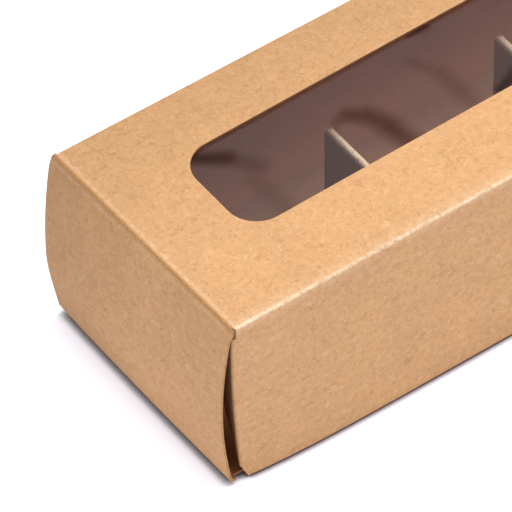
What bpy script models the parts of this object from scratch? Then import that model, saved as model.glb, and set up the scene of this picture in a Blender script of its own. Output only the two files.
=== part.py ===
"""Kraft window carton: a long folded tube with a tuck-in closure at each end and a divider insert.

Metres, +Z up. The origin is the middle of the base and +X runs along the carton. The panels of the
folded blank are separate pieces, because the flaps turn on the creases between them.
"""
import math

import bmesh
import bpy
from mathutils import Vector

MM = 0.001

# The carton
LENGTH = 190 * MM            # crease to crease, along X
WIDTH = 55 * MM              # over the long walls, along Y
HEIGHT = 43 * MM             # base to top panel
BOARD = 0.5 * MM             # thickness of the board
GAP = 0.3 * MM               # clearance left between neighbouring pieces
BASE_SETBACK = 3.5 * MM      # base panel's cut edge, inside the top panel's end crease
CORNER_CUT_HEIGHT = 4.5 * MM  # chamfer at the foot of each long wall's end, beside the roll-under
CORNER_CUT_REACH = 1.4 * MM

# The window and its film
WINDOW_END_MARGIN = 17.5 * MM
WINDOW_FRONT_MARGIN = 18.3 * MM
WINDOW_WIDTH = 21.4 * MM
WINDOW_RADIUS = 6.5 * MM
FILM = 0.2 * MM
FILM_OVERLAP = 8 * MM        # film under the top panel, all round the window

# The glued seam
SEAM_DEPTH = 12 * MM
SEAM_END_MARGIN = 6 * MM
SEAM_TAPER = 4 * MM

# The tuck-in closures
PANEL_SIDE_CLEARANCE = 0.2 * MM
BOW = 3.0 * MM               # how far an end panel bows outwards
BOW_PERIOD = 44 * MM         # height over which the bow would come back to the crease's plane
BOW_POWER = 0.8
BOW_TOP = 0.8 * MM           # depth below the top face where the end panel starts
BOW_FOOT = 40.6 * MM         # depth where the bow ends and the roll-under begins
TONGUE_LIFT = 1.4 * MM       # underside of the tongue above the table
TONGUE_TIP = 13.4 * MM       # tongue's tip, inside the end crease
TONGUE_SIDE_MARGIN = 1.5 * MM
TONGUE_RADIUS = 6 * MM

# The dust flaps: their creases lean, so the foot stands further in than the top
CREASE_TOP = 0.6 * MM
CREASE_FOOT = 2.4 * MM
FLAP_REACH = 20 * MM
FLAP_LOW_HINGE = 3.4 * MM
FLAP_LOW_TIP = 8 * MM
FLAP_HIGH_HINGE = 40.6 * MM
FLAP_HIGH_TIP = 39.2 * MM
FLAP_RADIUS = 3 * MM
FLAP_REST = math.radians(20)  # a closed flap is pushed this far past square

# The divider insert
CELL_PITCH = 40.5 * MM
CELLS = 4
INSERT_WIDTH = 52.8 * MM
INSERT_PLAY = 0.8 * MM       # between each end of the insert and the tongue beside it
DIVIDER_WIDTH = 32.8 * MM
DIVIDER_TOP = 25.2 * MM
DIVIDER_RADIUS = 1.5 * MM
DIVIDER_SLIT = 0.3 * MM      # between the two plies of a divider

ARC_STEPS = 8


def clear_scene():
    """Remove every object that the scene starts with."""
    for item in list(bpy.data.objects):
        bpy.data.objects.remove(item, do_unlink=True)


def new_collection(name):
    """A collection linked to the scene."""
    collection = bpy.data.collections.new(name)
    bpy.context.scene.collection.children.link(collection)
    return collection


def board_material(name, colour, roughness=0.85):
    """Uncoated board."""
    material = bpy.data.materials.new(name)
    material.use_nodes = True
    shader = material.node_tree.nodes["Principled BSDF"]
    shader.inputs["Base Color"].default_value = (*colour, 1)
    shader.inputs["Roughness"].default_value = roughness
    shader.inputs["Metallic"].default_value = 0
    return material


def film_material(name):
    """Clear plastic film."""
    material = board_material(name, (0.9, 0.9, 0.9), 0.08)
    material.node_tree.nodes["Principled BSDF"].inputs["Alpha"].default_value = 0.2
    return material


def add_object(name, data, collection, material=None):
    """An object in a collection, with its own material."""
    item = bpy.data.objects.new(name, data)
    collection.objects.link(item)
    if material:
        data.materials.append(material)
    return item


def add_empty(name, collection, location, parent=None, turn=0.0):
    """An empty that marks a crease or one end of the carton."""
    empty = bpy.data.objects.new(name, None)
    empty.empty_display_size = 10 * MM
    collection.objects.link(empty)
    empty.location = location
    empty.rotation_euler = (0, 0, turn)
    empty.parent = parent
    return empty


def rounded_outline(corners):
    """Points of a closed outline, from corners given as (x, y, radius)."""
    points = []
    for index, (x, y, radius) in enumerate(corners):
        corner = Vector((x, y))
        if not radius:
            points.append(corner)
            continue
        before = Vector(corners[index - 1][:2]) - corner
        after = Vector(corners[(index + 1) % len(corners)][:2]) - corner
        before.normalize()
        after.normalize()
        half_angle = before.angle(after) / 2
        centre = corner + (before + after).normalized() * radius / math.sin(half_angle)
        start = corner + before * radius / math.tan(half_angle) - centre
        end = corner + after * radius / math.tan(half_angle) - centre
        sweep = start.angle_signed(end)
        for step in range(ARC_STEPS + 1):
            angle = -sweep * step / ARC_STEPS
            turned = Vector((start.x * math.cos(angle) - start.y * math.sin(angle),
                             start.x * math.sin(angle) + start.y * math.cos(angle)))
            points.append(centre + turned)
    return points


def rectangle(x_low, x_high, y_low, y_high, radius=0.0):
    """Corners of a rectangle, for rounded_outline."""
    return [(x_low, y_low, radius), (x_high, y_low, radius), (x_high, y_high, radius), (x_low, y_high, radius)]


def outline_curve(name, outlines, thickness):
    """A flat 2D curve: the first outline is the edge, and any others are holes."""
    curve = bpy.data.curves.new(name, "CURVE")
    curve.dimensions = "2D"
    curve.fill_mode = "BOTH"
    curve.extrude = thickness / 2
    for corners in outlines:
        points = rounded_outline(corners)
        spline = curve.splines.new("POLY")
        spline.points.add(len(points) - 1)
        for place, point in zip(spline.points, points):
            place.co = (point.x, point.y, 0, 1)
        spline.use_cyclic_u = True
    return curve


def box_piece(name, low, high, collection, material):
    """A rectangular piece between two corners, with its origin at its middle."""
    mesh = bpy.data.meshes.new(name)
    builder = bmesh.new()
    bmesh.ops.create_cube(builder, size=1)
    size = Vector(high) - Vector(low)
    bmesh.ops.scale(builder, vec=size, verts=builder.verts)
    builder.to_mesh(mesh)
    builder.free()
    item = add_object(name, mesh, collection, material)
    item.location = (Vector(high) + Vector(low)) / 2
    return item


def folded_sheet(name, profile, width, collection, material):
    """A sheet bent to a profile in X and Z, drawn out along Y and thickened to the board."""
    mesh = bpy.data.meshes.new(name)
    builder = bmesh.new()
    verts = [builder.verts.new((x, -width / 2, z)) for x, z in profile]
    edges = [builder.edges.new(pair) for pair in zip(verts, verts[1:])]
    drawn = bmesh.ops.extrude_edge_only(builder, edges=edges)
    new_verts = [part for part in drawn["geom"] if isinstance(part, bmesh.types.BMVert)]
    bmesh.ops.translate(builder, vec=(0, width, 0), verts=new_verts)
    bmesh.ops.recalc_face_normals(builder, faces=builder.faces)
    builder.to_mesh(mesh)
    builder.free()
    item = add_object(name, mesh, collection, material)
    solidify = item.modifiers.new("board", "SOLIDIFY")
    solidify.thickness = BOARD
    solidify.offset = 0
    return item


def upright(item, y_middle):
    """Stand a flat outline up, so that it spans X and Z at a place across the carton."""
    item.rotation_euler = (math.pi / 2, 0, 0)
    item.location = (0, y_middle, 0)


def wall_corners():
    """Side view of a long wall: its ends lean with the dust-flap creases and are cut back at the foot."""
    low = BOARD + GAP
    cut = low + CORNER_CUT_HEIGHT
    high = HEIGHT - BOARD - GAP
    foot_end = LENGTH / 2 - CREASE_FOOT
    lean = (CREASE_FOOT - CREASE_TOP) / HEIGHT
    right_side = [(foot_end + lean * low - CORNER_CUT_REACH, low, 0), (foot_end + lean * cut, cut, 0),
                  (foot_end + lean * high, high, 0)]
    left_side = [(-x, z, radius) for x, z, radius in reversed(right_side)]
    return right_side + left_side


def window_bounds():
    """Lowest and highest x and y of the window."""
    x_edge = LENGTH / 2 - WINDOW_END_MARGIN
    y_front = -WIDTH / 2 + WINDOW_FRONT_MARGIN
    return -x_edge, x_edge, y_front, y_front + WINDOW_WIDTH


def build_tube(parts, boards):
    """Base, long walls and top panel, with the window cut out of the top."""
    half = LENGTH / 2
    side = WIDTH / 2
    box_piece("bottom_panel", (-half + BASE_SETBACK, -side, 0), (half - BASE_SETBACK, side, BOARD),
              parts, boards["bottom_panel"])
    for name, y_middle in (("front_wall", -side + BOARD / 2), ("back_wall", side - BOARD / 2)):
        wall = add_object(name, outline_curve(name, [wall_corners()], BOARD), parts, boards[name])
        upright(wall, y_middle)
    outlines = [rectangle(-half, half, -side, side), rectangle(*window_bounds(), WINDOW_RADIUS)]
    top = add_object("top_panel", outline_curve("top_panel", outlines, BOARD), parts, boards["top_panel"])
    top.location = (0, 0, HEIGHT - BOARD / 2)


def build_film(parts, material):
    """Clear film glued under the top panel, behind the window."""
    x_low, x_high, y_low, y_high = window_bounds()
    top = HEIGHT - BOARD - GAP
    box_piece("window_film", (x_low - FILM_OVERLAP, y_low - FILM_OVERLAP, top - FILM),
              (x_high + FILM_OVERLAP, y_high + FILM_OVERLAP, top), parts, material)


def build_glue_flap(parts, material):
    """Seam flap that hangs from the top panel and is glued inside the back wall."""
    half = LENGTH / 2 - SEAM_END_MARGIN
    high = HEIGHT - BOARD - GAP
    low = high - SEAM_DEPTH
    corners = [(-half + SEAM_TAPER, low, 0), (half - SEAM_TAPER, low, 0), (half, high, 0), (-half, high, 0)]
    flap = add_object("glue_flap", outline_curve("glue_flap", [corners], BOARD), parts, material)
    upright(flap, WIDTH / 2 - BOARD - GAP - BOARD / 2)


def end_panel_profile():
    """Mid-line of the bowed end panel and its roll-under, as (outward, depth) from the top crease."""
    def bow(depth):
        return BOW * math.sin(math.pi * depth / BOW_PERIOD) ** BOW_POWER

    steps = 16
    profile = []
    for step in range(steps + 1):
        depth = BOW_TOP + (BOW_FOOT - BOW_TOP) * step / steps
        profile.append((bow(depth) - BOARD / 2, depth))
    probe = 0.05 * MM
    slope = (bow(BOW_FOOT) - bow(BOW_FOOT - probe)) / probe
    lean = math.atan(-slope)
    drop = HEIGHT - TONGUE_LIFT - BOARD / 2 - BOW_FOOT
    radius = drop / (1 - math.sin(lean))
    outward, depth = profile[-1]
    for step in range(1, ARC_STEPS + 1):
        angle = lean + (math.pi / 2 - lean) * step / ARC_STEPS
        profile.append((outward - radius * (math.cos(lean) - math.cos(angle)),
                        depth + radius * (math.sin(angle) - math.sin(lean))))
    return profile


def build_closure(end, frame, parts, boards):
    """End panel hung from the top crease, and the tongue that tucks in above the base panel."""
    hinge = add_empty(end + "_end_hinge", parts, (-LENGTH / 2, 0, HEIGHT), frame)
    profile = end_panel_profile()
    panel = folded_sheet(end + "_end_panel", [(-outward, -depth) for outward, depth in profile],
                         WIDTH - 2 * PANEL_SIDE_CLEARANCE, parts, boards[end + "_end_panel"])
    panel.parent = hinge
    fold_outward, fold_depth = profile[-1]
    start = GAP
    tip = TONGUE_TIP + fold_outward
    half = WIDTH / 2 - TONGUE_SIDE_MARGIN
    corners = [(start, -half, 0), (tip, -half, TONGUE_RADIUS), (tip, half, TONGUE_RADIUS), (start, half, 0)]
    name = end + "_tuck_tongue"
    tongue = add_object(name, outline_curve(name, [corners], BOARD), parts, boards[name])
    tongue.parent = hinge
    tongue.location = (-fold_outward, 0, -fold_depth)


def build_dust_flap(name, side, frame, parts, material):
    """A dust flap on the leaning crease at the end of a long wall; side is -1 or 1 across the carton."""
    foot = Vector((-LENGTH / 2 + CREASE_FOOT + BOARD, side * (WIDTH / 2 - BOARD - GAP), 0))
    lean = math.atan((CREASE_FOOT - CREASE_TOP) / HEIGHT)
    crease = add_empty(name + "_crease", parts, foot, frame)
    crease.rotation_euler = (0, -lean, 0)
    corners = [(0, FLAP_LOW_HINGE, 0), (FLAP_REACH, FLAP_LOW_TIP, FLAP_RADIUS),
               (FLAP_REACH, FLAP_HIGH_TIP, FLAP_RADIUS), (0, FLAP_HIGH_HINGE, 0)]
    flap = add_object(name, outline_curve(name, [corners], BOARD), parts, material)
    flap.parent = crease
    flap.location = (-BOARD / 2, 0, 0)
    flap.rotation_euler = (math.pi / 2, 0, -side * (math.pi / 2 - FLAP_REST))


def divider_profile():
    """Mid-line of a divider's folded plies, as (x, z) from one foot over the top to the other."""
    reach = (DIVIDER_SLIT + BOARD) / 2
    foot = 2 * BOARD + 2 * GAP
    crown = DIVIDER_TOP - BOARD / 2 - reach
    arc = [(-reach * math.cos(math.pi * step / ARC_STEPS), crown + reach * math.sin(math.pi * step / ARC_STEPS))
           for step in range(ARC_STEPS + 1)]
    return [(-reach, foot)] + arc + [(reach, foot)]


def build_divider(number, x, parts, cutters, material):
    """One folded divider, rounded at its upper corners."""
    name = "divider_{}".format(number)
    divider = folded_sheet(name, divider_profile(), DIVIDER_WIDTH + 2 * MM, parts, material)
    divider.location = (x, 0, 0)
    half = DIVIDER_WIDTH / 2
    corners = [(-half, -MM, 0), (half, -MM, 0), (half, DIVIDER_TOP + MM / 10, DIVIDER_RADIUS),
               (-half, DIVIDER_TOP + MM / 10, DIVIDER_RADIUS)]
    guide = add_object(name + "_guide", outline_curve(name + "_guide", [corners], 4 * MM), cutters)
    guide.rotation_euler = (math.pi / 2, 0, math.pi / 2)
    guide.location = (x, 0, 0)
    cutter = mesh_from_curve(guide, cutters)
    trim = divider.modifiers.new("rounded corners", "BOOLEAN")
    trim.operation = "INTERSECT"
    trim.object = cutter


def mesh_from_curve(item, collection):
    """Turn a curve object into a closed mesh object that a Boolean can use."""
    bpy.context.view_layer.update()
    evaluated = item.evaluated_get(bpy.context.evaluated_depsgraph_get())
    mesh = bpy.data.meshes.new_from_object(evaluated)
    builder = bmesh.new()
    builder.from_mesh(mesh)
    bmesh.ops.remove_doubles(builder, verts=builder.verts, dist=0.001 * MM)
    bmesh.ops.recalc_face_normals(builder, faces=builder.faces)
    builder.to_mesh(mesh)
    builder.free()
    solid = bpy.data.objects.new(item.name + "_solid", mesh)
    collection.objects.link(solid)
    solid.matrix_world = item.matrix_world
    solid.hide_render = True
    solid.display_type = "WIRE"
    bpy.data.objects.remove(item, do_unlink=True)
    return solid


def build_insert(parts, cutters, boards):
    """Divider insert: base panels lying on the carton's base, with a folded divider between each pair."""
    low = BOARD + GAP
    half = INSERT_WIDTH / 2
    slot = (DIVIDER_SLIT / 2 + BOARD) + GAP
    end = LENGTH / 2 - TONGUE_TIP - INSERT_PLAY
    for index in range(CELLS):
        x_low = (index - CELLS / 2) * CELL_PITCH + slot
        x_high = (index + 1 - CELLS / 2) * CELL_PITCH - slot
        name = "insert_base_{}".format(index + 1)
        box_piece(name, (max(x_low, -end), -half, low), (min(x_high, end), half, low + BOARD),
                  parts, boards[name])
    for number in range(1, CELLS):
        name = "divider_{}".format(number)
        build_divider(number, (number - CELLS / 2) * CELL_PITCH, parts, cutters, boards[name])


def make_boards():
    """One material for each board piece."""
    outer = (0.66, 0.43, 0.25)
    inner = (0.6, 0.38, 0.22)
    boards = {}
    for name in ("bottom_panel", "front_wall", "back_wall", "top_panel", "glue_flap"):
        boards[name] = board_material(name, outer)
    for end in ("near", "far"):
        for part in ("end_panel", "tuck_tongue", "front_dust_flap", "back_dust_flap"):
            boards["{}_{}".format(end, part)] = board_material("{}_{}".format(end, part), outer)
    for number in range(1, CELLS + 1):
        boards["insert_base_{}".format(number)] = board_material("insert_base_{}".format(number), inner)
        boards["divider_{}".format(number)] = board_material("divider_{}".format(number), inner)
    return boards


def main():
    """Build the carton."""
    clear_scene()
    parts = new_collection("window_carton")
    cutters = new_collection("cutters")
    boards = make_boards()
    build_tube(parts, boards)
    build_film(parts, film_material("window_film"))
    build_glue_flap(parts, boards["glue_flap"])
    for end, turn in (("near", 0.0), ("far", math.pi)):
        frame = add_empty(end + "_end", parts, (0, 0, 0), turn=turn)
        build_closure(end, frame, parts, boards)
        front = -1 if end == "near" else 1
        for place, side in (("front", front), ("back", -front)):
            name = "{}_{}_dust_flap".format(end, place)
            build_dust_flap(name, side, frame, parts, boards[name])
    build_insert(parts, cutters, boards)
    bpy.context.view_layer.update()


main()
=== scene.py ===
"""Looks for the kraft window carton: folded board, clear film, divider insert, studio and camera."""
import math

import bpy
import numpy as np
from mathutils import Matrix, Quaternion, Vector


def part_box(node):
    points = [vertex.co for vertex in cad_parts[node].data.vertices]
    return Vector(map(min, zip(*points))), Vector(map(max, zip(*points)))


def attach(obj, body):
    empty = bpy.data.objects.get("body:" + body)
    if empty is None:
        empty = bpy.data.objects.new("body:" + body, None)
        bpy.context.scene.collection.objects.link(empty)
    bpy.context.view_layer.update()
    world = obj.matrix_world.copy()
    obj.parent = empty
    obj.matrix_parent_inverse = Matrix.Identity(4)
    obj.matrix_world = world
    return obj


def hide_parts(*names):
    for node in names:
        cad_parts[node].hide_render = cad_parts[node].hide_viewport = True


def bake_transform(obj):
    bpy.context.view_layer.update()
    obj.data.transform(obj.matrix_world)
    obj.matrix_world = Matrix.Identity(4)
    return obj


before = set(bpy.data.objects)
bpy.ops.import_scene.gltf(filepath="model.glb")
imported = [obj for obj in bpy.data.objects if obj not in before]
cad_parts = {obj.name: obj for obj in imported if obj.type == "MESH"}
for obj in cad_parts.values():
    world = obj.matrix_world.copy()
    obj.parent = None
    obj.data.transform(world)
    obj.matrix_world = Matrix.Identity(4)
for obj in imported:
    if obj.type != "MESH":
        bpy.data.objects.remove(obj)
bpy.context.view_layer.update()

MM = 0.001

# Driving sizes, read from the frame
TOP_LOW, TOP_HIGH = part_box("top_panel")
HALF_LENGTH = TOP_HIGH.x
HALF_WIDTH = TOP_HIGH.y
HEIGHT = TOP_HIGH.z
BOARD = TOP_HIGH.z - TOP_LOW.z
FILM_LOW, FILM_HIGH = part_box("window_film")

# The folded tube
CREASE_RADIUS = 0.75 * MM    # outer radius of the tube's creases and of the end panels' creases
CROWN = 1.1 * MM             # rise of the top panel's middle
SLACK_POWER = 1.5            # how the crown fades towards the ends
FOOT_SPREAD = 1.3 * MM       # how far the front wall's foot stands out
FOOT_HELD = 4 * MM           # length at each end where the foot can't stand out
FOOT_HELD_POWER = 8          # how suddenly it stands out beyond that
RACK = (0.7 * MM, 1.0 * MM)  # how far two opposite top corners are out of square, along X and Y
RACK_REACH = 80 * MM         # distance from the carton's end where the racking has faded out
RACK_HEIGHT = 17 * MM        # height above the base where the racking is complete
BACK_WALL_DROP = 1.2 * MM    # cut top edge of the back wall, below the top panel's face
SEAM_DEPTH = 12 * MM         # the glued flap inside the back wall
SEAM_SETBACK = 2 * MM
SEAM_TAPER = 6 * MM

# Wear of the folds: pale where rubbing wore them, dark where they are crushed. The pale along the divider's
# ridge is painted highlight, and on the front crease it is partly rubbing and partly painted highlight
RUB_WIDTH = 0.5 * MM
CRUSH_WIDTH = 0.42 * MM
# painted highlight: the front crease's pale line is partly rubbing and partly painted highlight
FRONT_CREASE_RUB_AND_HIGHLIGHT = 0.95
END_CREASE_RUB = 0.35
END_CREASE_CRUSH = 1.2
END_SHOULDER = 0.85 * MM     # rubbed line beside an end crease's crushed middle
FLAP_CREASE_RUB = 0.08
# painted highlight: the divider's ridge is painted pale where light catches its top
RIDGE_PAINTED_HIGHLIGHT = 2.4
CORNER_WEAR = 0.5            # how much more a crease wears near the carton's ends
CORNER_WEAR_REACH = 14 * MM

# An end panel: how far the near one bows out at its front and back edges, with a swell between them
BOW_FRONT = 2.67 * MM
BOW_BACK = 1.9 * MM
BOW_SWELL = 1.0 * MM
BOW_PERIOD = 44 * MM         # depth at which the bow would come back to the crease's plane
BOW_POWER = 0.8
BOW_CREASE_TURN = 0.8        # share of a quarter turn that the crease makes before the bow takes over
BOW_BLEND = 2.5 * MM         # depth over which the bow takes over
BOW_FOOT = 40.9 * MM         # depth where the roll-under begins
ROLL_LEVEL = 0.9 * MM        # outer face of the roll-under's end and of the tongue, above the base
PANEL_CLEARANCE = 0.15 * MM  # beside the long edges, and more over a shoulder below the crease
PANEL_CREASE_CLEARANCE = 0.35 * MM
PANEL_SHOULDER = 1.0 * MM
TONGUE_MARGIN = 1.3 * MM
TONGUE_RADIUS = 6 * MM

# A dust flap's crease: upright at the top, then curving in towards its foot
FLAP_CREASE_RADIUS = 0.55 * MM
FLAP_CREASE_SETBACK = 0.05 * MM
FLAP_CREASE_UPRIGHT = 7 * MM
FLAP_CREASE_LEAN = 2.2 * MM
FLAP_CREASE_POWER = 1.8
WALL_HEAD = 40.3 * MM        # a wall's end is cut back above its dust flap, and chamfered below it
WALL_RELIEF = 0.3 * MM
WALL_FOOT = 3.7 * MM
WALL_CHAMFER = (0.1 * MM, 1.8 * MM)
WALL_CUT_ROW = 0.05 * MM     # half the distance between the two rows at a cut

# A dust flap: how far it reaches, how far past square it rests, and its lower and upper edges
FLAP_REACH = 20 * MM
FLAP_REST = math.radians(25)
FLAP_LOW_HINGE = 3.6 * MM
FLAP_LOW_TIP = 7 * MM
FLAP_HIGH_HINGE = 41.6 * MM
FLAP_HIGH_TIP = 39.2 * MM
FLAP_RADIUS = 3 * MM
FLAP_NOTCH = 1.4 * MM        # depth of the die-cut notch at the top of its crease
FLAP_NOTCH_SIDE = (0.6 * MM, 1.3 * MM)  # where the notch's side rises, along the flap from its crease

# The insert
CELLS = 4
INSERT_BEND = 0.6 * MM
DIVIDER_CORNER = 1.5 * MM
DIVIDER_SPRING = 0.5 * MM    # a pinched fold springs up a little
DIVIDER_SIDE = 0.4 * MM      # slit between a divider's ends and the flat board beside them
PANEL_GAP = 0.02 * MM

# The film and the window over it
FILM_OVERLAP_END = 7.5 * MM
FILM_OVERLAP_FRONT = 7.5 * MM
FILM_OVERLAP_BACK = 7.1 * MM
FILM_GAP = 0.3 * MM
WINDOW_RADIUS = 6.5 * MM
WINDOW_CUT_REACH = 3 * MM    # how far the cutter stands above and below the top board
WINDOW_X = FILM_HIGH.x - FILM_OVERLAP_END
WINDOW_FRONT = FILM_LOW.y + FILM_OVERLAP_FRONT
WINDOW_BACK = FILM_HIGH.y - FILM_OVERLAP_BACK

# Where each piece starts in flat coordinates, so that neighbours don't show the same fibres
SEAM_SHIFT = -14 * MM
END_SHIFT = 0.03             # also gives the near end panel's back edge the painted shade of the top's back edge
TONGUE_SHIFT = (0.3, 0.1)
FLAP_SHIFT = (0.4, 0.1)
BASE_SHIFT = 0.5

CRISP = math.radians(40)     # angle from which an edge is drawn sharp

# Spacing of the sheets' rows and columns
END_ZONE = 3 * MM            # finer towards each end of the tube
END_STEP = 0.2 * MM
MIDDLE_STEP = 1.2 * MM
WALL_STEP = 2 * MM
FLAP_STEP = 0.4 * MM
BASE_STEP = 0.8 * MM
FILM_STEP = 0.7 * MM
CREASE_ROWS = 11
BOW_ROWS = 48
PANEL_COLUMNS = 37
TONGUE_ROWS = 22
TONGUE_COLUMNS = 31
FLAP_ROWS = 40
DIVIDER_COLUMNS = 33
BASE_ROWS = 20


def smoothstep(low, high, value):
    """0 below low, 1 above high, smooth between."""
    share = np.clip((value - low) / (high - low), 0, 1)
    return share * share * (3 - 2 * share)


# ---------------------------------------------------------------- meshes

def grid_object(name, points, flat, wear_and_painted_light, material):
    """A quad sheet from a grid of points, with the blank's flat coordinates as UVs and an attribute for worn
    folds, painted highlight on the divider's ridge and painted shade on the film.
    """
    rows, columns = points.shape[:2]
    index = np.arange(rows * columns).reshape(rows, columns)
    quads = np.stack([index[:-1, :-1], index[1:, :-1], index[1:, 1:], index[:-1, 1:]], -1).reshape(-1, 4)
    mesh = bpy.data.meshes.new(name)
    mesh.from_pydata(points.reshape(-1, 3).tolist(), [], quads.tolist())
    layer = mesh.uv_layers.new(name="blank")
    corners = np.zeros(len(mesh.loops), np.int32)
    mesh.loops.foreach_get("vertex_index", corners)
    layer.data.foreach_set("uv", flat.reshape(-1, 2)[corners].astype(np.float32).ravel())
    # holds worn folds on the boards, painted highlight on the divider's ridge and painted shade on the film
    worn = mesh.attributes.new("wear_and_painted_light", "FLOAT", "POINT")
    worn.data.foreach_set("value", wear_and_painted_light.ravel().astype(np.float32))
    mesh.shade_smooth()
    item = bpy.data.objects.new(name, mesh)
    bpy.context.scene.collection.objects.link(item)
    mesh.materials.append(material)
    return item


def as_grid(*coordinates):
    """A grid of points from their coordinates, each broadcast to the same rows and columns."""
    return np.stack(np.broadcast_arrays(*coordinates), -1)


def apply_modifiers(item):
    """Replace an object's mesh with its evaluated one, with edges over CRISP sharp."""
    bpy.context.view_layer.update()
    evaluated = item.evaluated_get(bpy.context.evaluated_depsgraph_get())
    mesh = bpy.data.meshes.new_from_object(evaluated)
    mesh.set_sharp_from_angle(angle=CRISP)
    old = item.data
    item.modifiers.clear()
    item.data = mesh
    bpy.data.meshes.remove(old)
    return item


def thicken(item, thickness, inner=None, rim=None, outwards=False):
    """Give a sheet its board thickness, with its own materials on the inside and on the cut edges."""
    solid = item.modifiers.new("board", "SOLIDIFY")
    solid.thickness = thickness
    solid.offset = 1 if outwards else -1
    if inner:
        item.data.materials.append(inner)
        solid.material_offset = len(item.data.materials) - 1
    if rim:
        item.data.materials.append(rim)
        solid.material_offset_rim = len(item.data.materials) - 1
    return apply_modifiers(item)


def spaced(low, high, step):
    """Even places from low to high, about a step apart."""
    return np.linspace(low, high, max(2, int(round((high - low) / step)) + 1))


# ---------------------------------------------------------------- node helpers

class Nodes:
    """A short way to write a material's node tree."""

    def __init__(self, name):
        self.material = bpy.data.materials.new(name)
        self.material.use_nodes = True
        self.tree = self.material.node_tree
        self.shader = self.tree.nodes["Principled BSDF"]
        self.output = self.tree.nodes["Material Output"]

    def add(self, kind, inputs=(), **settings):
        """A node with its settings, and its inputs given as values or as sockets."""
        node = self.tree.nodes.new(kind)
        for key, value in settings.items():
            setattr(node, key, value)
        for place, value in dict(inputs).items():
            if isinstance(value, bpy.types.NodeSocket):
                self.tree.links.new(value, node.inputs[place])
            else:
                node.inputs[place].default_value = value
        return node

    def math(self, operation, first, second=0.0, clamp=False):
        """A Math node's result."""
        inputs = {0: first, 1: second}
        return self.add("ShaderNodeMath", inputs, operation=operation, use_clamp=clamp).outputs[0]

    def vector(self, operation, first, second):
        """A Vector Math node's result."""
        return self.add("ShaderNodeVectorMath", {0: first, 1: second}, operation=operation).outputs[0]

    def mix(self, share, first, second, blend="MIX"):
        """A colour mix's result."""
        node = self.add("ShaderNodeMix", {0: share, 6: first, 7: second}, data_type="RGBA", blend_type=blend)
        return node.outputs[2]

    def span(self, value, low, high, to_low=0.0, to_high=1.0):
        """A value mapped from one range to another, clamped."""
        inputs = {0: value, 1: low, 2: high, 3: to_low, 4: to_high}
        return self.add("ShaderNodeMapRange", inputs).outputs[0]

    def noise(self, vector, scale, detail=2.0, roughness=0.5, distortion=0.0):
        """A noise texture's value."""
        inputs = {"Vector": vector, "Scale": scale, "Detail": detail, "Roughness": roughness,
                  "Distortion": distortion}
        return self.add("ShaderNodeTexNoise", inputs).outputs[0]


# ---------------------------------------------------------------- materials

KRAFT = (0.59, 0.33, 0.157, 1)
KRAFT_DARK = (0.31, 0.145, 0.05, 1)
KRAFT_PALE = (0.72, 0.49, 0.29, 1)
# pale colour of rubbed folds, also used for the painted highlights on the divider's ridge and the front
# crease
KRAFT_RUBBED_AND_HIGHLIT = (0.80, 0.62, 0.44, 1)
KRAFT_CRUSHED = (0.37, 0.185, 0.06, 1)
# painted light: the tube's inner face is set lighter than the board's outside, lifting the inside seen
# through the window
TUBE_INSIDE_PAINTED_LIGHT = (0.78, 0.44, 0.285, 1)
# painted shade: the closures' inner faces are much darker than the tube's inside, standing in for the shade
# in the carton's ends
CLOSURE_INSIDE_PAINTED_SHADE = (0.30, 0.135, 0.05, 1)
# painted shade: the insert's base board is darker than the tube's inside, standing in for the shade on it
# near the back wall
INSERT_KRAFT_SHADED = (0.50, 0.265, 0.165, 1)
# painted shade: the dividers are dark brown, standing in for the shade on their faces
DIVIDER_KRAFT_SHADED = (0.27, 0.10, 0.045, 1)
CUT_EDGE = (0.42, 0.23, 0.10, 1)
# painted shade: the window's cut edges are much darker than the board's other cut edges, standing in for the
# shadow in the gap over the film
WINDOW_CUT_EDGE_SHADED = (0.16, 0.085, 0.04, 1)
MOTTLE = 0.20                # shares of darker mottling, dark fibres and pale fibres in the colour
DARK_FIBRES = 0.44
PALE_FIBRES = 0.36
PALE_FIBRE_SHIFT = 57.0      # moves the pale fibres away from the dark ones
PLAIN = 0.2                  # how fibrous the boards inside the carton look
CLOUDS = (0.96, 1.04)        # range of the board's brightness, and of its grain
GRAIN = (-0.04, 0.04)
BACK_SHADE_LEVEL = 0.82             # painted shade: brightness along the back edge, and the strip over which it builds up
BACK_STRIP = (4 * MM, 34 * MM)
BOARD_ROUGHNESS = 0.85
BOARD_SPECULAR = 0.2
BUMP = 0.3
EDGE_BUMP = 0.5
BUMP_DISTANCE = 0.00008

FILM_TINT = (0.97, 0.96, 0.96, 1)
# painted shade: colour of the light let through where the film carries its painted shade
FILM_PAINTED_SHADE = (0.50, 0.42, 0.36, 1)
FILM_MILK_COLOUR = (0.95, 0.95, 1, 1)
FILM_MILK = 0.019
FILM_ROUGHNESS = 0.15
FILM_IOR = 1.5
PAINTED_SHADE_SHINE = 0.25         # share of the film's shine and milkiness left under its painted shade


def fibres(nodes, place, scale, width, shift):
    """Short curly stray fibres, 0 to 1: thin contour lines of a noise, broken up by another noise."""
    moved = nodes.vector("ADD", place, (shift, shift * 0.7, 0))
    level = nodes.noise(moved, scale, detail=1.0, distortion=0.8)
    from_contour = nodes.math("ABSOLUTE", nodes.math("SUBTRACT", level, 0.5))
    line = nodes.span(from_contour, 0.0, width, 1.0, 0.0)
    elsewhere = nodes.vector("ADD", moved, (40, 90, 0))
    broken = nodes.span(nodes.noise(elsewhere, scale * 0.9, detail=1.0), 0.50, 0.57)
    return nodes.math("MULTIPLY", line, broken)


def fibre_layers(nodes, place, shift):
    """Two sizes of fibres together."""
    coarse = fibres(nodes, place, scale=0.40, width=0.027, shift=shift)
    fine = fibres(nodes, place, scale=0.95, width=0.05, shift=shift + 23.0)
    return nodes.math("MAXIMUM", coarse, nodes.math("MULTIPLY", fine, 0.8))


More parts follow.
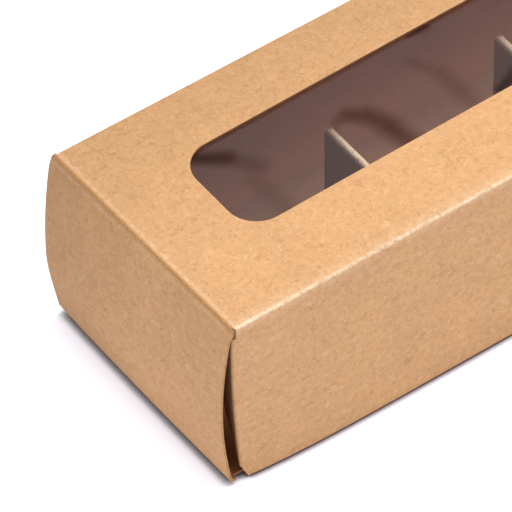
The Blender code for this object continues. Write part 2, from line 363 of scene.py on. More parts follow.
def board_colour(nodes, place, base, dark, pale, dark_fibres, pale_fibres, fibrous):
    """The board's colour, with darker mottling and both kinds of fibre."""
    mottle = nodes.noise(place, scale=0.7, detail=3.0, roughness=0.65, distortion=0.5)
    deeper = nodes.span(mottle, 0.38, 0.64)
    colour = nodes.mix(nodes.math("MULTIPLY", deeper, MOTTLE * fibrous), base, dark)
    colour = nodes.mix(nodes.math("MULTIPLY", dark_fibres, DARK_FIBRES * fibrous), colour, dark)
    return nodes.mix(nodes.math("MULTIPLY", pale_fibres, PALE_FIBRES * fibrous), colour, pale)


def board_brightness(nodes, place, flat, grain, back_shade):
    """The board's brightness as a grey: clouds, grain, and painted shade that deepens towards the back edge.
    """
    clouds = nodes.span(nodes.noise(place, scale=0.10, detail=3.0, roughness=0.6), 0.3, 0.7, *CLOUDS)
    level = nodes.math("ADD", clouds, nodes.span(grain, 0.3, 0.7, *GRAIN))
    across = nodes.add("ShaderNodeSeparateXYZ", {0: flat}).outputs[1]
    level = nodes.math("MULTIPLY", level, nodes.span(across, *BACK_STRIP, back_shade, 1.0))
    return nodes.add("ShaderNodeCombineColor", {0: level, 1: level, 2: level}).outputs[0]


def wear_and_highlight_colour(nodes, place, colour):
    """The colour with its folds patchily paled above 0 and crushed dark below 0; the pale is rubbing, but
    painted highlight on the divider's ridge and partly on the front crease.
    """
    wear_and_painted_light = nodes.add("ShaderNodeAttribute", attribute_name="wear_and_painted_light").outputs["Fac"]
    patchy = nodes.span(nodes.noise(place, scale=0.8, detail=4.0, roughness=0.75), 0.38, 0.60, 0.2, 0.95)
    broken = nodes.span(nodes.noise(place, scale=2.6, detail=3.0, roughness=0.8), 0.42, 0.56, 0.2, 1.0)
    crushed = nodes.math("MULTIPLY", nodes.math("MULTIPLY", wear_and_painted_light, -1.0), broken, clamp=True)
    rub_and_highlight = nodes.math("MULTIPLY", wear_and_painted_light, patchy, clamp=True)
    return nodes.mix(rub_and_highlight, nodes.mix(crushed, colour, KRAFT_CRUSHED), KRAFT_RUBBED_AND_HIGHLIT)


def board_relief(nodes, grain, dark_fibres, pale_fibres, bump):
    """Slight relief: the grain, with pale fibres raised and dark ones sunk."""
    height = nodes.math("ADD", nodes.math("MULTIPLY", grain, 0.6), nodes.math("MULTIPLY", pale_fibres, 0.4))
    height = nodes.math("SUBTRACT", height, nodes.math("MULTIPLY", dark_fibres, 0.4))
    inputs = {"Strength": bump, "Distance": BUMP_DISTANCE, "Height": height}
    return nodes.add("ShaderNodeBump", inputs).outputs[0]


def kraft(name, base, dark, pale, bump=BUMP, back_shade=1.0, fibrous=1.0):
    """Uncoated kraft board, drawn on the blank's flat coordinates in millimetres."""
    nodes = Nodes(name)
    flat = nodes.add("ShaderNodeUVMap", uv_map="blank").outputs[0]
    place = nodes.vector("MULTIPLY", flat, (1000, 1000, 1000))
    grain = nodes.noise(place, scale=3.2, detail=2.0, roughness=0.7)
    dark_fibres = fibre_layers(nodes, place, 0.0)
    pale_fibres = fibre_layers(nodes, place, PALE_FIBRE_SHIFT)
    colour = board_colour(nodes, place, base, dark, pale, dark_fibres, pale_fibres, fibrous)
    colour = nodes.mix(1.0, colour, board_brightness(nodes, place, flat, grain, back_shade), "MULTIPLY")
    nodes.tree.links.new(wear_and_highlight_colour(nodes, place, colour), nodes.shader.inputs["Base Color"])
    relief = board_relief(nodes, grain, dark_fibres, pale_fibres, bump)
    nodes.tree.links.new(relief, nodes.shader.inputs["Normal"])
    nodes.shader.inputs["Roughness"].default_value = BOARD_ROUGHNESS
    nodes.shader.inputs["Specular IOR Level"].default_value = BOARD_SPECULAR
    return nodes.material


def clear_film(name):
    """Clear plastic film: see-through, glossy at a slant and faintly milky; where its buckle value is high,
    painted shade darkens what is seen through it and takes away most of its shine and milkiness.
    """
    nodes = Nodes(name)
    nodes.tree.nodes.remove(nodes.shader)
    shade = nodes.add("ShaderNodeAttribute", attribute_name="wear_and_painted_light").outputs["Fac"]
    through = nodes.mix(shade, FILM_TINT, FILM_PAINTED_SHADE)
    clear = nodes.add("ShaderNodeBsdfTransparent", {"Color": through})
    gloss = nodes.add("ShaderNodeBsdfGlossy", {"Color": (1, 1, 1, 1), "Roughness": FILM_ROUGHNESS})
    facing = nodes.add("ShaderNodeFresnel", {"IOR": FILM_IOR}).outputs[0]
    unshaded = nodes.span(shade, 0.0, 1.0, 1.0, PAINTED_SHADE_SHINE)
    shine = nodes.math("MULTIPLY", facing, unshaded)
    shown = nodes.add("ShaderNodeMixShader", {0: shine, 1: clear.outputs[0], 2: gloss.outputs[0]})
    milk = nodes.add("ShaderNodeBsdfDiffuse", {"Color": FILM_MILK_COLOUR})
    milkiness = nodes.math("MULTIPLY", unshaded, FILM_MILK)
    hazy = nodes.add("ShaderNodeMixShader", {0: milkiness, 1: shown.outputs[0], 2: milk.outputs[0]})
    nodes.tree.links.new(hazy.outputs[0], nodes.output.inputs["Surface"])
    return nodes.material


BOARD_OUT = kraft("kraft_outside", KRAFT, KRAFT_DARK, KRAFT_PALE, back_shade=BACK_SHADE_LEVEL)
BOARD_IN_PAINTED_LIGHT = kraft("kraft_inside_painted_light", TUBE_INSIDE_PAINTED_LIGHT, KRAFT_DARK, KRAFT_PALE, fibrous=PLAIN)
FLAP_IN_PAINTED_SHADE = kraft("kraft_flap_inside_painted_shade", CLOSURE_INSIDE_PAINTED_SHADE, KRAFT_DARK, KRAFT)
INSERT_BOARD_SHADED = kraft("insert_kraft_painted_shade", INSERT_KRAFT_SHADED, KRAFT_DARK, KRAFT_PALE, fibrous=PLAIN)
DIVIDER_BOARD_SHADED = kraft("divider_kraft", DIVIDER_KRAFT_SHADED, KRAFT_DARK, KRAFT_PALE, fibrous=PLAIN)
BOARD_EDGE = kraft("kraft_cut_edge", CUT_EDGE, KRAFT_DARK, KRAFT_PALE, EDGE_BUMP)
WINDOW_EDGE_SHADED = kraft("window_cut_edge_painted_shade", WINDOW_CUT_EDGE_SHADED, KRAFT_DARK, KRAFT, EDGE_BUMP)
FILM = clear_film("window_film_clear")


# ---------------------------------------------------------------- the folded tube

def arc_points(centre, radius, start, end, steps=8):
    """Points of an arc in the section plane, with the ends included."""
    angles = np.linspace(start, end, steps + 1)
    return [(centre[0] + radius * math.cos(a), centre[1] + radius * math.sin(a)) for a in angles]


def section_length(points):
    """Distance along a section's points from the first."""
    steps = np.hypot(*np.diff(np.array(points), axis=0).T)
    return np.concatenate([[0], np.cumsum(steps)])


def line_points(start, end, step):
    """Points of a straight stretch of a section, with the ends included."""
    count = max(2, int(round(math.dist(start, end) / step)) + 1)
    return [tuple(p) for p in np.linspace(start, end, count)]


def crease_x(z):
    """Distance from the middle, along X, of a dust-flap crease's outer face."""
    below = np.clip((HEIGHT - z - FLAP_CREASE_UPRIGHT) / (HEIGHT - FLAP_CREASE_UPRIGHT), 0, 1)
    return HALF_LENGTH - FLAP_CREASE_SETBACK - FLAP_CREASE_LEAN * below ** FLAP_CREASE_POWER


def wall_end(z):
    """Where a long wall ends along X: at its dust flap's crease, cut back above it and chamfered below."""
    if z < WALL_FOOT:
        near, far = WALL_CHAMFER
        return crease_x(WALL_FOOT) - near - (far - near) * (1 - z / WALL_FOOT)
    relief = WALL_RELIEF if z > WALL_HEAD else 0
    return crease_x(z) - FLAP_CREASE_RADIUS - relief


def wall_stretch(y, high, low):
    """A long wall's straight stretch from high to low, with a close pair of rows at each cut of its end."""
    points = []
    for start, end in ((high, WALL_HEAD + WALL_CUT_ROW), (WALL_HEAD - WALL_CUT_ROW, WALL_FOOT + WALL_CUT_ROW),
                       (WALL_FOOT - WALL_CUT_ROW, low)):
        points += line_points((y, start), (y, end), WALL_STEP)
    return points


def fold_wear(distance, pale, crushed=0.0, shoulder=0.0):
    """Wear at a distance from a fold's middle: above 0 pale at the shoulders, below 0 crushed; on the front
    crease the pale is partly painted highlight.
    """
    rub_and_highlight = pale * np.exp(-((np.abs(distance) - shoulder) / RUB_WIDTH) ** 2)
    return rub_and_highlight - crushed * np.exp(-(distance / CRUSH_WIDTH) ** 2)


def slack(x):
    """How free the top panel is to rise at a place along the tube: 0 at the ends, 1 in the middle."""
    return np.cos(np.pi / 2 * np.clip(np.abs(x) / HALF_LENGTH, 0, 1)) ** SLACK_POWER


def crown(x, y):
    """How far the top panel stands above its creases."""
    return CROWN * slack(x) * np.cos(np.pi / 2 * np.clip(np.abs(y) / HALF_WIDTH, 0, 1))


def spread(points):
    """How far the sleeve's points move towards the front, most at the front wall's foot."""
    frontness = np.clip((HALF_WIDTH - points[..., 1]) / (2 * HALF_WIDTH), 0, 1)
    held = np.clip(np.abs(points[..., 0]) / (HALF_LENGTH - FOOT_HELD), 0, 1) ** FOOT_HELD_POWER
    return FOOT_SPREAD * (1 - held) * frontness * (1 - points[..., 2] / HEIGHT)


def rack(points):
    """Push the carton's near back and far front top corners out of square."""
    side = np.where(points[..., 0] < 0, 1.0, -1.0)
    cornerness = np.clip((1 + side * points[..., 1] / HALF_WIDTH) / 2, 0, 1)
    from_end = HALF_LENGTH - np.abs(points[..., 0])
    share = side * cornerness * np.clip(1 - from_end / RACK_REACH, 0, 1)
    share *= smoothstep(0, RACK_HEIGHT, points[..., 2])
    racked = points.copy()
    racked[..., 0] -= RACK[0] * share
    racked[..., 1] += RACK[1] * share
    return racked


def sleeve_panel(name, node, section, ends, flat_start, wear_and_painted_light, end_wear):
    """One panel of the tube: a section in Y and Z drawn along X between its ends."""
    section = np.array(section)
    along = section_length(section)
    ends = np.array(ends)[:, None]
    fine = spaced(HALF_LENGTH - END_ZONE, HALF_LENGTH, END_STEP)[1:] / HALF_LENGTH
    middle = spaced(-HALF_LENGTH + END_ZONE, HALF_LENGTH - END_ZONE, MIDDLE_STEP) / HALF_LENGTH
    shares = np.concatenate([-fine[::-1], middle, fine])
    points = as_grid(ends * shares, section[:, :1], section[:, 1:])
    flat = as_grid(points[..., 0], (flat_start + along)[:, None])
    from_end = ends - np.abs(points[..., 0])
    worn_corner = 1 + CORNER_WEAR * np.exp(-(from_end / CORNER_WEAR_REACH) ** 2)
    rub_and_highlight = np.array(wear_and_painted_light)[:, None] * worn_corner
    at_end = end_wear(from_end)
    rub_and_highlight = np.where(np.abs(at_end) > np.abs(rub_and_highlight), at_end, rub_and_highlight)
    points[..., 1] -= spread(points)
    if node == "top_panel":
        points[..., 2] += crown(points[..., 0], points[..., 1])
    item = grid_object(name, rack(points), flat, rub_and_highlight, BOARD_OUT)
    thicken(item, BOARD, BOARD_IN_PAINTED_LIGHT, BOARD_EDGE)
    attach(item, "carton")
    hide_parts(node)
    return item


def build_tube():
    """Top, front wall, base and back wall, meeting half way round each crease."""
    r = CREASE_RADIUS
    y, h = HALF_WIDTH, HEIGHT
    quarter = math.pi / 4
    back_top = arc_points((y - BOARD - r, h - r), r, quarter, 2 * quarter)
    front_top = arc_points((-y + r, h - r), r, 2 * quarter, 3 * quarter)
    top = back_top + line_points((y - BOARD - r, h), (-y + r, h), WALL_STEP)[1:-1] + front_top
    front = (arc_points((-y + r, h - r), r, 3 * quarter, 4 * quarter)
             + wall_stretch(-y, h - r, r)[1:-1]
             + arc_points((-y + r, r), r, 4 * quarter, 5 * quarter))
    base = (arc_points((-y + r, r), r, 5 * quarter, 6 * quarter)
            + line_points((-y + r, 0), (y - r, 0), WALL_STEP)[1:-1]
            + arc_points((y - r, r), r, 6 * quarter, 7 * quarter))
    back = (arc_points((y - r, r), r, 7 * quarter, 8 * quarter)
            + wall_stretch(y, h - BACK_WALL_DROP, r)[-2::-1])
    start = 0.0
    for name, node, section in (("top_board", "top_panel", top), ("front_board", "front_wall", front),
                                ("base_board", "bottom_panel", base), ("back_board", "back_wall", back)):
        ends = [panel_end(node, z) for _, z in section]
        wear_and_painted_light = fold_wear(from_front_crease(section, node), FRONT_CREASE_RUB_AND_HIGHLIGHT)
        item = sleeve_panel(name, node, section, ends, start, wear_and_painted_light, END_WEAR[node])
        if node == "top_panel":
            cut_window(item)
        start += section_length(section)[-1]
    build_seam(quarter)


def build_seam(quarter):
    """The glued flap that hangs from the top's back crease, inside the back wall."""
    r = CREASE_RADIUS
    y = HALF_WIDTH - BOARD
    flap = (arc_points((y - r, HEIGHT - r), r, quarter, 0)
            + line_points((y, HEIGHT - r), (y, HEIGHT - SEAM_DEPTH), WALL_STEP)[1:])
    flap = flap[::-1]
    ends = [HALF_LENGTH - SEAM_SETBACK - SEAM_TAPER * (HEIGHT - z) / SEAM_DEPTH for _, z in flap]
    sleeve_panel("seam_board", "glue_flap", flap, ends, SEAM_SHIFT, [0] * len(flap), no_wear)


def panel_end(node, z):
    """Where a panel of the tube ends along X."""
    if node == "top_panel":
        return HALF_LENGTH - CREASE_RADIUS
    if node == "bottom_panel":
        return float(wall_end(0))
    return float(wall_end(z))


def from_front_crease(section, node):
    """Distance of each section point from the worn top front crease; base and back wall are far from it."""
    along = section_length(section)
    if node == "top_panel":
        return along[-1] - along
    return along if node == "front_wall" else along + 2 * HALF_WIDTH


def no_wear(from_end):
    """Wear of a plain cut end."""
    return from_end * 0


def end_crease_wear(from_end):
    """Wear beside the crease that an end panel hangs from."""
    return fold_wear(from_end + CREASE_RADIUS * math.pi / 4, END_CREASE_RUB, END_CREASE_CRUSH, END_SHOULDER)


def flap_crease_wear(from_end):
    """Wear beside a dust flap's crease."""
    return fold_wear(from_end + FLAP_CREASE_RADIUS * math.pi / 4, FLAP_CREASE_RUB)


END_WEAR = {"top_panel": end_crease_wear, "bottom_panel": no_wear, "front_wall": flap_crease_wear,
            "back_wall": flap_crease_wear}


def rounded_window(x, front, back, radius, steps=16):
    """Outline of the window, anticlockwise from above."""
    centres = [(x - radius, back - radius), (-x + radius, back - radius),
               (-x + radius, front + radius), (x - radius, front + radius)]
    outline = []
    for corner, centre in enumerate(centres):
        outline += arc_points(centre, radius, corner * math.pi / 2, (corner + 1) * math.pi / 2, steps)
    return outline


def cut_window(item):
    """Cut the rounded window through the top board; the cut takes the window's cut-edge material, dark as
    painted shade.
    """
    outline = rounded_window(WINDOW_X, WINDOW_FRONT, WINDOW_BACK, WINDOW_RADIUS)
    count = len(outline)
    low, high = HEIGHT - WINDOW_CUT_REACH, HEIGHT + WINDOW_CUT_REACH
    verts = [(x, y, low) for x, y in outline] + [(x, y, high) for x, y in outline]
    sides = [(i, (i + 1) % count, count + (i + 1) % count, count + i) for i in range(count)]
    caps = [tuple(reversed(range(count))), tuple(range(count, 2 * count))]
    mesh = bpy.data.meshes.new("window_cut")
    mesh.from_pydata(verts, [], sides + caps)
    mesh.materials.append(WINDOW_EDGE_SHADED)
    cutter = bpy.data.objects.new("window_cut", mesh)
    bpy.context.scene.collection.objects.link(cutter)
    cut = item.modifiers.new("window", "BOOLEAN")
    cut.object = cutter
    cut.material_mode = "TRANSFER"
    apply_modifiers(item)
    bpy.data.objects.remove(cutter, do_unlink=True)


# ---------------------------------------------------------------- the closures

def placed(points, flip):
    """A closure's points at their end of the racked tube, turned half way round Z for the far end."""
    return rack(points * np.array([-1, -1, 1]) if flip else points)


def bow_reach(across):
    """How far the near end panel bows out, by the share of its width from the front edge."""
    return BOW_FRONT * (1 - across) + BOW_BACK * across + 4 * BOW_SWELL * across * (1 - across)


def bow(depth, reach):
    """How far the end panel stands out at a depth below the top crease."""
    return reach * np.sin(np.pi * np.clip(depth, 0, BOW_PERIOD) / BOW_PERIOD) ** BOW_POWER


def end_section(reach):
    """The end panel's outer face as (outward, depth): top crease, bow and roll-under."""
    r = CREASE_RADIUS
    turns = np.linspace(0, math.pi / 2 * BOW_CREASE_TURN, CREASE_ROWS)
    points = [(-r + r * math.sin(a), r - r * math.cos(a)) for a in turns]
    start_outward, start_depth = points[-1]
    for depth in np.linspace(start_depth, BOW_FOOT, BOW_ROWS)[1:]:
        share = smoothstep(start_depth, start_depth + BOW_BLEND, depth)
        points.append((float(bow(depth, reach) * share + start_outward * (1 - share)), float(depth)))
    (o1, d1), (o2, d2) = points[-2:]
    lean = math.atan2(o1 - o2, d2 - d1)
    radius = (HEIGHT - ROLL_LEVEL - d2) / (1 - math.sin(lean))
    for angle in np.linspace(lean, math.pi / 2, CREASE_ROWS)[1:]:
        points.append((o2 - radius * (math.cos(lean) - math.cos(angle)),
                       d2 + radius * (math.sin(angle) - math.sin(lean))))
    return points


def build_end_panel(end, flip):
    """One end panel: the crease, the bowed face and the roll-under, in one sheet."""
    shares = np.linspace(1, -1, PANEL_COLUMNS)
    sections = np.array([end_section(bow_reach((share + 1) / 2)) for share in shares])
    outward, depth = sections[..., 0].T, sections[..., 1].T
    narrowed = PANEL_CREASE_CLEARANCE * (1 - smoothstep(0, PANEL_SHOULDER, depth))
    half = HALF_WIDTH - PANEL_CLEARANCE - narrowed
    points = as_grid(-HALF_LENGTH - outward, half * shares, HEIGHT - depth)
    along = section_length(sections[len(shares) // 2])
    flat = as_grid(-HALF_LENGTH - along[:, None], END_SHIFT - points[..., 1])
    worn = fold_wear(along - CREASE_RADIUS * math.pi / 4, END_CREASE_RUB, END_CREASE_CRUSH, END_SHOULDER)
    wear_and_painted_light = np.repeat(worn[:, None], len(shares), 1)
    panel = grid_object(end + "_end_board", placed(points, flip), flat, wear_and_painted_light, BOARD_OUT)
    thicken(panel, BOARD, FLAP_IN_PAINTED_SHADE, BOARD_EDGE)
    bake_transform(panel)
    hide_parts(end + "_end_panel")
    return sections[len(shares) // 2][-1]


def build_tongue(end, flip, fold):
    """The tongue, from the end of the roll-under to its rounded tip."""
    outward, depth = fold
    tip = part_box("near_tuck_tongue")[1].x
    start = -HALF_LENGTH - outward
    xs = start + (tip - start) * np.sin(np.linspace(0, math.pi / 2, TONGUE_ROWS))
    past = np.clip(xs - (tip - TONGUE_RADIUS), 0, TONGUE_RADIUS)
    rounding = TONGUE_RADIUS - np.sqrt(TONGUE_RADIUS ** 2 - past ** 2)
    half = HALF_WIDTH - TONGUE_MARGIN - rounding
    shares = np.linspace(1, -1, TONGUE_COLUMNS)
    points = as_grid(xs[:, None], half[:, None] * shares, HEIGHT - depth)
    flat = points[..., :2] + np.array(TONGUE_SHIFT)
    tongue = grid_object(end + "_tongue_board", placed(points, flip), flat,
                         np.zeros(points.shape[:2]), BOARD_OUT)
    # painted shade: the tongue's cut edges take the dark inner colour
    thicken(tongue, BOARD, FLAP_IN_PAINTED_SHADE, FLAP_IN_PAINTED_SHADE)
    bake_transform(tongue)
    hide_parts(end + "_tuck_tongue")


def build_dust_flap(end, place, flip):
    """A dust flap: the curving crease, then a flat panel that rests past square, with rounded corners."""
    name = "{}_{}_dust_flap".format(end, place)
    front = (place == "front") != flip
    r = FLAP_CREASE_RADIUS
    turn = math.pi / 2 + FLAP_REST
    arc = [(r - r * math.sin(a), r - r * math.cos(a)) for a in np.linspace(0, turn, 9)]
    run = spaced(0, FLAP_REACH - r, FLAP_STEP)[1:]
    panel = [(arc[-1][0] + s * math.sin(FLAP_REST), arc[-1][1] + s * math.cos(FLAP_REST)) for s in run]
    bends = np.array(arc + panel)
    along = section_length(bends)
    past = np.clip(along - (along[-1] - FLAP_RADIUS), 0, FLAP_RADIUS)
    rounding = FLAP_RADIUS - np.sqrt(np.maximum(FLAP_RADIUS ** 2 - past ** 2, 0))
    share = along / along[-1]
    low = FLAP_LOW_HINGE + (FLAP_LOW_TIP - FLAP_LOW_HINGE) * share + rounding
    notch = FLAP_NOTCH * (1 - smoothstep(*FLAP_NOTCH_SIDE, along))
    high = FLAP_HIGH_HINGE + (FLAP_HIGH_TIP - FLAP_HIGH_HINGE) * share - rounding - notch
    z = low + (high - low) * np.linspace(0, 1, FLAP_ROWS)[:, None]
    y = (-HALF_WIDTH + bends[:, 1]) * (1 if front else -1)
    points = as_grid(-crease_x(z) + bends[:, 0], y, z)
    flat = as_grid(along + FLAP_SHIFT[0], z + FLAP_SHIFT[1])
    worn = fold_wear(along - r * turn / 2, FLAP_CREASE_RUB)
    wear_and_painted_light = np.repeat(worn[None, :], FLAP_ROWS, 0)
    if not front:
        points, flat, wear_and_painted_light = points[::-1], flat[::-1], wear_and_painted_light[::-1]
    flap = grid_object(name + "_board", placed(points, flip), flat, wear_and_painted_light, BOARD_OUT)
    thicken(flap, BOARD, FLAP_IN_PAINTED_SHADE, BOARD_EDGE)
    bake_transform(flap)
    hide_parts(name)


def build_closure(end, flip):
    """End panel, tongue and dust flaps of one end."""
    fold = build_end_panel(end, flip)
    build_tongue(end, flip, fold)
    for place in ("front", "back"):
        build_dust_flap(end, place, flip)


# ---------------------------------------------------------------- the insert

def insert_sheet(name, node, points, flat, wear_and_painted_light, board):
    """One panel of the insert, from its grid of points."""
    sheet = grid_object(name, points, flat, wear_and_painted_light, board)
    thicken(sheet, BOARD, board, BOARD_EDGE)
    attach(sheet, "divider_insert")
    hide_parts(node)


def build_divider(number, level):
    """A divider: two plies pinched up from the base, with a folded ridge and rounded upper corners."""
    node = "divider_{}".format(number)
    low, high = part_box(node)
    middle, top, side = (low.x + high.x) / 2, high.z + DIVIDER_SPRING, (high.x - low.x) / 2
    foot = arc_points((middle - side - INSERT_BEND, level + INSERT_BEND), INSERT_BEND, -math.pi / 2, 0)
    ply = [(middle - side, z) for z in spaced(level + INSERT_BEND, top - side, 1 * MM)[1:-1]]
    crown = arc_points((middle, top - side), side, math.pi, 0, 8)
    fall = [(2 * middle - x, z) for x, z in (foot + ply)[::-1]]
    section = np.array(foot + ply + crown + fall)
    past = np.clip(section[:, 1] - (top - DIVIDER_CORNER), 0, DIVIDER_CORNER)
    half = high.y - (DIVIDER_CORNER - np.sqrt(DIVIDER_CORNER ** 2 - past ** 2))
    shares = np.linspace(-1, 1, DIVIDER_COLUMNS)
    along = section_length(section)
    points = as_grid(section[:, :1], half[:, None] * shares, section[:, 1:])
    flat = as_grid((number + along)[:, None], points[..., 1])
    # painted highlight along the divider's ridge
    rub_and_highlight = RIDGE_PAINTED_HIGHLIGHT * smoothstep(top - 2 * side, top - side, section[:, 1])
    wear_and_painted_light = np.repeat(rub_and_highlight[:, None], len(shares), 1)
    insert_sheet("divider_board_{}".format(number), node, points, flat, wear_and_painted_light, DIVIDER_BOARD_SHADED)


def build_insert_base(number, level, half):
    """A base panel of the insert; beside a divider's ends it runs on to meet the next panel."""
    node = "insert_base_{}".format(number)
    low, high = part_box(node)
    shares = spaced(-half, half, BASE_STEP)
    wide = np.abs(shares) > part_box("divider_1")[1].y + DIVIDER_SIDE
    near = np.full(len(shares), low.x)
    far = np.full(len(shares), high.x)
    if number > 1:
        before_low, before_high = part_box("divider_{}".format(number - 1))
        near = np.where(wide, (before_low.x + before_high.x) / 2 + PANEL_GAP, before_high.x + INSERT_BEND)
    if number < CELLS:
        after_low, after_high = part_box("divider_{}".format(number))
        far = np.where(wide, (after_low.x + after_high.x) / 2 - PANEL_GAP, after_low.x - INSERT_BEND)
    steps = np.linspace(0, 1, BASE_ROWS)[:, None]
    points = as_grid(near + (far - near) * steps, shares, level)
    flat = points[..., :2] + BASE_SHIFT
    insert_sheet("insert_board_{}".format(number), node, points, flat, np.zeros(points.shape[:2]),
                 INSERT_BOARD_SHADED)


def build_insert():
    """Base panels and pinched dividers of the folded strip."""
    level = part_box("insert_base_1")[1].z
    half = HALF_WIDTH - BOARD - PANEL_GAP
    for number in range(1, CELLS):
        build_divider(number, level)
    for number in range(1, CELLS + 1):
        build_insert_base(number, level, half)


# ---------------------------------------------------------------- film

BUCKLE_DEPTH = 0.03 * MM
BUCKLE_FADE = 1.55           # where a buckle has faded out, in half widths from its middle
BUCKLE_ORIGIN = 0.5 * MM     # the buckles' origin, inside the window's near front corner along X and Y

# Soft buckles of the film, which also carry painted shade: it darkens what is seen through the film and takes
# away most of its shine and milkiness. Each runs over stretches: the (x, y) of both ends in millimetres, the
# half widths there and the strength.
BUCKLES_AND_PAINTED_SHADE = {
    "first cell, back corner": (
        ((-0.5, 23.2), (8.0, 16.9), 1.4, 2.3, 1.0),
        ((8.0, 16.9), (11.2, 12.0), 2.2, 2.6, 0.45)),
    "first cell, front edge": (
        ((8.4, 10.0), (9.4, 0.0), 2.4, 2.6, 0.3),),
    "beside the first divider": (
        ((26.8, 9.8), (29.2, 12.0), 0.9, 1.3, 0.3),
        ((29.2, 12.0), (32.0, 12.2), 1.3, 2.1, 0.6),
        ((32.0, 12.2), (34.8, 9.9), 2.1, 2.7, 0.85),
        ((34.8, 9.9), (36.3, 6.4), 2.7, 2.9, 0.9),
        ((36.3, 6.4), (37.3, -0.5), 2.9, 2.9, 0.95)),
    "second cell": (
        ((49.5, 16.5), (52.3, 10.5), 1.2, 2.4, 0.3),
        ((52.3, 10.5), (52.5, 1.0), 2.4, 2.4, 0.42)),
    "second cell, back edge": (
        ((53.3, 21.9), (57.3, 21.9), 0.6, 1.0, 1.0),),
    "second cell, front edge": (
        ((58.6, 0.6), (64.0, 2.2), 1.2, 1.6, 0.9),),
    "third cell": (
        ((95.0, 20.0), (106.0, 9.0), 1.6, 3.0, 0.7),),
    "fourth cell": (
        ((128.0, 2.0), (139.0, 14.0), 1.8, 2.6, 0.6),),
}


def stretch_shade(x, y, start, end, start_half, end_half, strength):
    """How far one stretch of a buckle shapes the film at a place, and how much painted shade it puts there.
    """
    origin = np.array([BUCKLE_ORIGIN - WINDOW_X, WINDOW_FRONT + BUCKLE_ORIGIN])
    first = np.array(start) * MM + origin
    run = (np.array(end) - np.array(start)) * MM
    share = np.clip(((x - first[0]) * run[0] + (y - first[1]) * run[1]) / (run @ run), 0, 1)
    distance = np.hypot(x - first[0] - share * run[0], y - first[1] - share * run[1])
    half = (start_half + (end_half - start_half) * share) * MM
    return strength * (1 - smoothstep(0.0, BUCKLE_FADE, distance / half))


def buckle_shade(x, y):
    """How far the film is buckled at a place, 0 to 1, which is also the share of its painted shade."""
    shade = np.zeros_like(x)
    for stretches in BUCKLES_AND_PAINTED_SHADE.values():
        for stretch in stretches:
            shade = np.maximum(shade, stretch_shade(x, y, *stretch))
    return shade


def build_film():
    """The clear film behind the window, with soft buckles and their painted shade."""
    xs = spaced(FILM_LOW.x, FILM_HIGH.x, FILM_STEP)
    ys = spaced(FILM_LOW.y, FILM_HIGH.y, FILM_STEP)[::-1]
    flat = as_grid(xs, ys[:, None])
    shade = buckle_shade(flat[..., 0], flat[..., 1])
    level = HEIGHT - BOARD - FILM_GAP + crown(flat[..., 0], flat[..., 1])
    points = as_grid(flat[..., 0], flat[..., 1], level - shade * BUCKLE_DEPTH)
    film = grid_object("film_sheet", rack(points), flat, shade, FILM)
    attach(film, "carton")
    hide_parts("window_film")


# ---------------------------------------------------------------- studio

FLOOR_REACH = 3.0
FLOOR_DROP = 0.1 * MM        # keeps the floor just clear of the carton's base
FLOOR_WHITE = (0.73, 0.745, 0.83, 1)
FLOOR_ROUGHNESS = 0.9
FLOOR_GLOW_COLOUR = (0.92, 0.93, 1, 1)
FLOOR_GLOW = 0.56
CONTACT_SHADE = (0.22, 0.17, 0.19, 1)
CONTACT_REACH = 2.5 * MM
CONTACT_SPAN = (0.48, 0.80)  # openness of the floor over which the contact shade fades
SURROUND = 0.6
KEY_PLACE = (0.14, -0.03, 0.75)
KEY_SIZE = 0.6
KEY_POWER = 6.5


def build_key():
    """A large soft light from above and to the right, aimed at the carton."""
    light = bpy.data.lights.new("key", "AREA")
    light.size = KEY_SIZE
    light.energy = KEY_POWER
    item = bpy.data.objects.new("key", light)
    bpy.context.scene.collection.objects.link(item)
    item.location = KEY_PLACE
    item.rotation_mode = "QUATERNION"
    item.rotation_quaternion = (-Vector(KEY_PLACE)).to_track_quat("-Z", "Y")


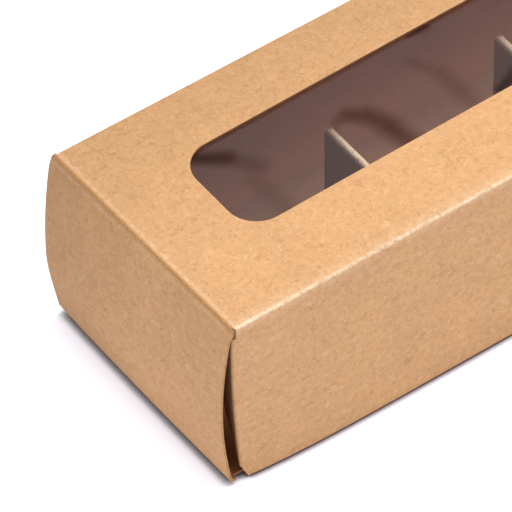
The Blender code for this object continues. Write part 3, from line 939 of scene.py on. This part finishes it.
def build_floor():
    """A pale floor that glows a little, except in a close contact shade round the carton."""
    reach = FLOOR_REACH
    mesh = bpy.data.meshes.new("floor")
    mesh.from_pydata([(-reach, -reach, 0), (reach, -reach, 0), (reach, reach, 0), (-reach, reach, 0)], [],
                     [(0, 1, 2, 3)])
    floor = bpy.data.objects.new("floor", mesh)
    bpy.context.scene.collection.objects.link(floor)
    floor.location = (0, 0, -FLOOR_DROP)
    nodes = Nodes("floor_white")
    open_sky = nodes.add("ShaderNodeAmbientOcclusion", {"Distance": CONTACT_REACH}, samples=8).outputs["AO"]
    clear_of = nodes.span(open_sky, *CONTACT_SPAN)
    colour = nodes.mix(clear_of, CONTACT_SHADE, FLOOR_WHITE)
    nodes.tree.links.new(colour, nodes.shader.inputs["Base Color"])
    nodes.shader.inputs["Roughness"].default_value = FLOOR_ROUGHNESS
    nodes.shader.inputs["Emission Color"].default_value = FLOOR_GLOW_COLOUR
    glow = nodes.math("MULTIPLY", clear_of, FLOOR_GLOW)
    nodes.tree.links.new(glow, nodes.shader.inputs["Emission Strength"])
    mesh.materials.append(nodes.material)


def build_studio():
    """The floor, even white surroundings and the key light."""
    build_floor()
    world = bpy.data.worlds.new("studio")
    world.use_nodes = True
    world.node_tree.nodes["Background"].inputs[0].default_value = (1, 1, 1, 1)
    world.node_tree.nodes["Background"].inputs[1].default_value = SURROUND
    bpy.context.scene.world = world
    build_key()
    bpy.context.scene.view_settings.view_transform = "Standard"


CAMERA_AZIMUTH = math.radians(-36.2)
CAMERA_ELEVATION = math.radians(47.6)
CAMERA_ROLL = math.radians(-0.4)
CAMERA_LENS = 616
CAMERA_SENSOR = 36
CAMERA_DISTANCE = 1.597
CAMERA_CLIP = 20
CAMERA_AIM = (4.43 * MM, 13.67 * MM)  # right of the carton's near front top corner, and up from it


def build_camera():
    """A long lens that looks down along the carton from its near front corner."""
    level = math.cos(CAMERA_ELEVATION)
    back = Vector((math.sin(CAMERA_AZIMUTH) * level, -math.cos(CAMERA_AZIMUTH) * level,
                   math.sin(CAMERA_ELEVATION)))
    right = Vector((math.cos(CAMERA_AZIMUTH), math.sin(CAMERA_AZIMUTH), 0))
    up = back.cross(right)
    corner = Vector((-HALF_LENGTH, -HALF_WIDTH, HEIGHT))
    aim = corner + right * CAMERA_AIM[0] + up * CAMERA_AIM[1]
    data = bpy.data.cameras.new("camera")
    data.lens = CAMERA_LENS
    data.sensor_width = CAMERA_SENSOR
    data.clip_end = CAMERA_CLIP
    camera = bpy.data.objects.new("camera", data)
    bpy.context.scene.collection.objects.link(camera)
    camera.location = aim + back * CAMERA_DISTANCE
    camera.rotation_mode = "QUATERNION"
    camera.rotation_quaternion = (-back).to_track_quat("-Z", "Y") @ Quaternion((0, 0, 1), CAMERA_ROLL)
    bpy.context.scene.camera = camera


build_tube()
for end_name, turned in (("near", False), ("far", True)):
    build_closure(end_name, turned)
build_insert()
build_film()
build_studio()
build_camera()
